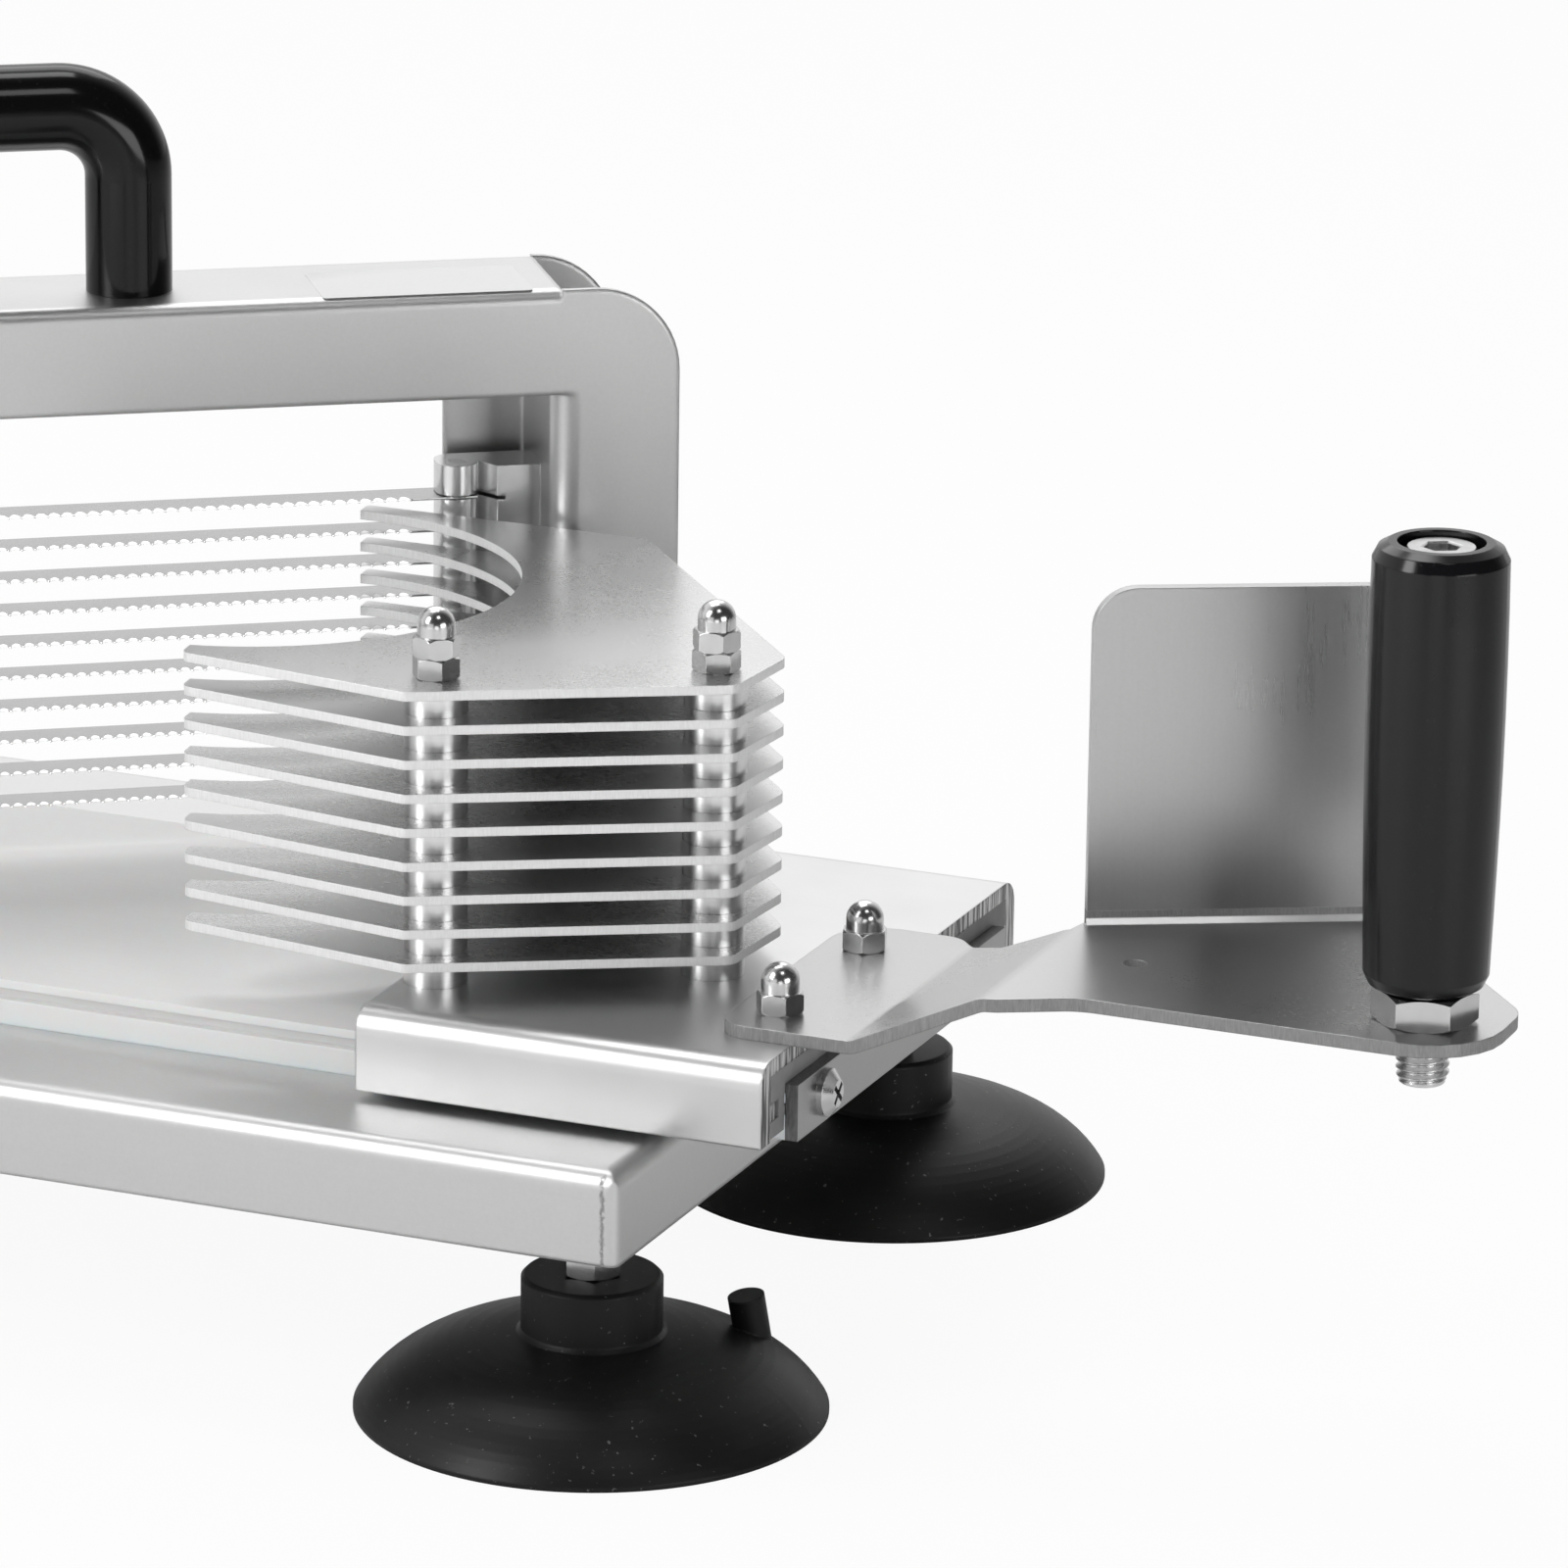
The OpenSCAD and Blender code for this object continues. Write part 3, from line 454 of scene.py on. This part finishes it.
# %% Grid to mesh
def skin(name, grid, finish):
    """A mesh on a grid[row, step, xyz]: rows follow the path, steps go round the profile.

    Face (row, step) has the corners row * steps + step, the next one round the profile,
    and the same two a row further on.
    """
    rows, steps = grid.shape[:2]
    row, step = np.meshgrid(np.arange(rows - 1), np.arange(steps), indexing="ij")
    here, there = row * steps, (row + 1) * steps
    along = (step + 1) % steps
    faces = np.stack([here + step, here + along, there + along, there + step], -1)
    faces = faces.reshape(-1, 4).tolist()
    faces.append(list(range(steps))[::-1])
    faces.append([(rows - 1) * steps + k for k in range(steps)])
    mesh = bpy.data.meshes.new(name)
    mesh.from_pydata(grid.reshape(-1, 3), [], faces)
    mesh.materials.append(finish)
    mesh.shade_flat()
    mesh.update()
    piece = bpy.data.objects.new(name, mesh)
    bpy.context.scene.collection.objects.link(piece)
    return piece


print("skin ready")

# %% [markdown]
# ## The toothed blades
# Each blade is a strip ground thin along one edge, with a row of round scallops cut in
# it. The edge curve is the size of a sine, which gives sharp points and round hollows.
# The ground bevel follows the scallops, so every tooth catches the light by itself.

# %% Blades
FRAME_AT = np.array([-0.081, -0.0026])  # the middle of the blades' front line, from above
U = np.array([math.cos(BLADE_TURN), math.sin(BLADE_TURN)])  # along the blades
V = np.array([-U[1], U[0]])  # across them, from the edge to the back
PITCH_Z, TOP_BLADE_Z, BLADES = 0.0066, 0.1344, 10
TOOTH, TOOTH_DEEP, TOOTH_STEPS = 0.0026, 0.0007, 10
BEVEL, BEVEL_TIP = 0.0015, 0.00012  # the bevel's width in a hollow and at a point
BLADE_HALF, TOOTHED_HALF = 0.1045, 0.091
RAMP, PLAIN_EDGE = 0.0004, 0.0002  # past the teeth the edge steps back, over a short ramp
BLADE_WIDE, BLADE_THICK, EDGE_THICK = 0.0085, 0.0004, 0.00005
ROUNDING = 1e-9  # lets the last tooth's end count in spite of rounding
PROFILE = 6
GROUND_SIDES = (0, 1, 5)


def blade_frame(u, v, z):
    """A point by its distance along and across the blades, and its height."""
    flat = FRAME_AT + u[..., None] * U + v[..., None] * V
    return np.concatenate([flat, z[..., None]], -1)


def blade_strip(number):
    """A strip swept along u; its front edge is v = deep * |sin(pi u / tooth)|.

    The profile's six points are the two of the thin edge, the two where the bevels end
    and the two of the back. The ground sides are the edge and the two bevels.
    """
    z = TOP_BLADE_Z - (number - 1) * PITCH_Z
    teeth = np.arange(-TOOTHED_HALF, TOOTHED_HALF + ROUNDING, TOOTH / TOOTH_STEPS)
    start = [-BLADE_HALF, -TOOTHED_HALF - RAMP]
    end = [TOOTHED_HALF + RAMP, BLADE_HALF]
    u = np.concatenate([start, teeth, end])
    toothed = (np.abs(u) <= TOOTHED_HALF).astype(float)
    hollow = np.abs(np.sin(np.pi * (u + TOOTHED_HALF) / TOOTH)) * toothed
    edge = TOOTH_DEEP * hollow + PLAIN_EDGE * (1 - toothed)
    bevel = edge + BEVEL_TIP + (BEVEL - BEVEL_TIP) * hollow
    half, thin = BLADE_THICK / 2, EDGE_THICK / 2
    flat = np.ones_like(u)
    v = np.stack([edge, edge, bevel, BLADE_WIDE * flat, BLADE_WIDE * flat, bevel], 1)
    dz = np.stack([-thin * flat, thin * flat, half * flat, half * flat, -half * flat, -half * flat], 1)
    grid = blade_frame(np.repeat(u[:, None], PROFILE, 1), v, z + dz)
    piece = skin(f"toothed_blade_{number}", grid, blade_steel)
    side = np.arange(len(piece.data.polygons)) % PROFILE
    ground = piece.data.attributes.new("ground", "FLOAT", "FACE")
    ground.data.foreach_set("value", np.isin(side, GROUND_SIDES).astype(np.float32))
    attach(piece, "base")
    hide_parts(f"blade_{number}")
    return piece


blades = [blade_strip(number) for number in range(1, BLADES + 1)]
print("blades:", len(blades), "points each:", len(blades[0].data.vertices))

# %% [markdown]
# ## The threaded spindle
# The grip's spindle ends in a coarse thread under the handle plate. A thread is a radius
# that rises and falls once a pitch, and its phase turns with the angle. The spindle's head
# has a hexagon socket: the radius of a hexagon is its half width divided by the cosine of
# the angle from the nearest flat.

# %% Threaded spindle
ROUND = 96
THREAD_STEPS = 12
THREAD_OUTER, THREAD_PITCH, THREAD_TOP = 0.0049, 0.0015, 0.0930
THREAD_DEPTH = 0.61 * THREAD_PITCH  # the depth of a metric thread
theta = np.linspace(0, 2 * math.pi, ROUND, endpoint=False)


def lathe(rows, centre):
    """Rows of (radius, height) carried round an axis; either may vary with the angle."""
    r = np.array([np.broadcast_to(radius, ROUND) for radius, _ in rows])
    z = np.array([np.broadcast_to(height, ROUND) for _, height in rows])
    return np.stack([centre[0] + r * np.cos(theta), centre[1] + r * np.sin(theta), z], -1)


def thread(low, high):
    """Rows of a thread: radius = outer - depth * triangle(height / pitch - angle / turn).

    The triangle's tips are clipped, and the first pitch fades in from a thinner end.
    """
    heights = np.arange(low, high, THREAD_PITCH / THREAD_STEPS)
    phase = (heights[:, None] / THREAD_PITCH - theta / (2 * math.pi)) % 1
    triangle = np.clip(np.abs(2 * phase - 1) * 1.25 - 0.12, 0, 1)
    fade = np.clip((heights - low) / THREAD_PITCH, 0.25, 1)[:, None]
    radii = THREAD_OUTER - THREAD_DEPTH * np.maximum(triangle, 1 - fade)
    return list(zip(radii, heights))


def hexagon(flats):
    """The radius of a hexagon, a function of the angle."""
    sector = (theta + math.pi / 6) % (math.pi / 3) - math.pi / 6
    return flats / 2 / np.cos(sector)


GRIP_AT = (0.2372, -0.041)
low, high = (corner.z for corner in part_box("grip_spindle"))
spindle = lathe(
    [(0.0004, low), (0.0040, low)]
    + thread(low + 0.0002, THREAD_TOP)
    + [
        (0.0048, 0.0931), (0.0050, 0.0934), (0.0050, high - 0.0061), (0.0062, high - 0.0060),
        (0.0065, high - 0.0057), (0.0065, high - 0.0006), (0.0061, high),
        (hexagon(0.0066), high), (hexagon(0.0060), high - 0.0003), (hexagon(0.0060), high - 0.0036),
        (0.0020, high - 0.0044), (0.0003, high - 0.0044),
    ],
    GRIP_AT,
)
spindle = skin("threaded_spindle", spindle, nut_steel)
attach(spindle, "pusher")
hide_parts("grip_spindle")
print("spindle points:", len(spindle.data.vertices))

# %% [markdown]
# ## The bare label
# A paper label lies on the bridge. Here it stays blank: a thin white sheet with nothing
# printed on it.

# %% Label
def paper(name):
    paint = Paint(name, IOR=1.45)
    fibre = paint.noise(0.0008, 3.0)
    return paint.feed(
        Base_Color=paint.blend(fibre, grey(0.78), grey(0.84)),
        Roughness=0.45 + fibre * 0.1,
        Normal=paint.bump(fibre, 0.00001),
    )


LABEL_U, LABEL_V, LABEL_THICK, LABEL_CORNER = (0.071, 0.113), (-0.0128, 0.0085), 0.0001, 0.0008
QUARTER = np.linspace(0, math.pi / 2, 6)


def rounded(ends, far_ends, wave):
    """One coordinate of an outline with round corners.

    Corner k adds radius * wave(angle + k * pi / 2) to the middle of its arc, which lies
    a radius inside the far end or the near end.
    """
    arcs = []
    for k, far in enumerate(far_ends):
        inset = -LABEL_CORNER if far else LABEL_CORNER
        arcs.append(ends[far] + (LABEL_CORNER * wave(QUARTER + k * math.pi / 2)) + inset)
    return np.concatenate(arcs)


bridge_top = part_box("bridge")[1].z
u = rounded(LABEL_U, (1, 0, 0, 1), np.cos)
v = rounded(LABEL_V, (1, 1, 0, 0), np.sin)
levels = np.array([bridge_top, bridge_top + LABEL_THICK])[:, None] * np.ones_like(u)
outline = blade_frame(np.stack([u, u]), np.stack([v, v]), levels)
label = skin("blank_label", outline, paper("label_paper"))
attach(label, "base")
print("label on the bridge at height", round(bridge_top, 4))

# %% [markdown]
# ## The studio
# A pale floor and seven soft lamps: a key from the front left, one behind, two overhead
# and three weak ones low down that put light into the gaps. The world is plain white
# where the camera looks, and a soft grey room where the metal looks.

# %% Floor
FLOOR_HALF, FLOOR_TONE, FLOOR_GLOW = 4.0, 0.86, 0.93


def floor_paint():
    """A pale floor that the camera sees mostly as plain white, with a trace of shadow."""
    paint = Paint("floor_paint", Roughness=0.6, Base_Color=(*grey(FLOOR_TONE), 1))
    glow = paint.node("Emission", None, (1, 1, 1, 1), 1.0, out="Emission")
    seen = paint.node("LightPath", out="Is Camera Ray")
    lit = Value(paint, paint.shader.outputs[0])
    mixed = paint.node("MixShader", None, seen * FLOOR_GLOW, lit, glow)
    paint.tree.links.new(mixed.socket, paint.tree.nodes["Material Output"].inputs["Surface"])
    return paint.material


floor_mesh = bpy.data.meshes.new("floor")
square = np.array([(-1, -1), (1, -1), (1, 1), (-1, 1)]) * FLOOR_HALF
floor_mesh.from_pydata(np.column_stack([square, np.zeros(4)]), [], [(0, 1, 2, 3)])
floor_mesh.materials.append(floor_paint())
floor = bpy.data.objects.new("floor", floor_mesh)
bpy.context.scene.collection.objects.link(floor)
print("floor laid")

# %% World
ROOM_LIGHT_FROM = (-0.75, 0.6, -0.1)
ROOM_DARK, ROOM_LIGHT = 0.05, 0.9


def room(world):
    """White where the camera looks; elsewhere light behind and to the left, dark to the right."""
    nodes = Nodes(world.node_tree)
    where = nodes.node("TexCoord", out="Generated")
    along = nodes.node("VectorMath", {"operation": "DOT_PRODUCT"}, where, ROOM_LIGHT_FROM, out="Value")
    level = nodes.node(
        "MapRange", {"interpolation_type": "SMOOTHSTEP"}, along, -0.3, 0.6, ROOM_DARK, ROOM_LIGHT
    )
    seen = nodes.node("LightPath", out="Is Camera Ray")
    colour = nodes.blend(seen, level, grey(1))
    nodes.tree.links.new(colour.socket, nodes.tree.nodes["Background"].inputs["Color"])


world = bpy.data.worlds.new("studio")
bpy.context.scene.world = world
world.use_nodes = True
room(world)
print("room ready")

# %% Lamps
def lamp(name, at, towards, size, power):
    data = bpy.data.lights.new(name, "AREA")
    data.shape = "RECTANGLE"
    data.size, data.size_y = size
    data.energy = power
    made = bpy.data.objects.new(name, data)
    bpy.context.scene.collection.objects.link(made)
    made.location = at
    made.rotation_euler = (Vector(towards) - Vector(at)).to_track_quat("-Z", "Y").to_euler()


HEART = (-0.03, 0, 0.1)
LAMPS = [  # name, place, what it aims at, width and height in metres, watts
    ("key", (-0.75, -1.1, 1.0), HEART, (0.5, 0.9), 11),
    ("back", (-0.5, 1.2, 1.3), HEART, (1.3, 0.8), 5.5),
    ("top", (-0.25, 0.3, 1.35), HEART, (0.7, 0.35), 3.6),
    ("right", (0.55, -0.5, 1.25), HEART, (0.3, 0.3), 1),
    ("fill", (0.9, -0.42, 0.25), (0.06, -0.03, 0.1), (0.45, 0.3), 1.8),
    ("front", (0.42, -0.78, 0.13), (0.05, -0.03, 0.12), (0.3, 0.2), 0.3),
    ("low", (-0.12, -0.72, 0.2), (-0.02, 0, 0.12), (0.5, 0.34), 0.42),
]
for row in LAMPS:
    lamp(*row)
print("lamps hung")

# %% [markdown]
# ## The view transform
# Colours reach the picture through the Standard view transform.

# %% Finish
bpy.context.scene.view_settings.view_transform = "Standard"
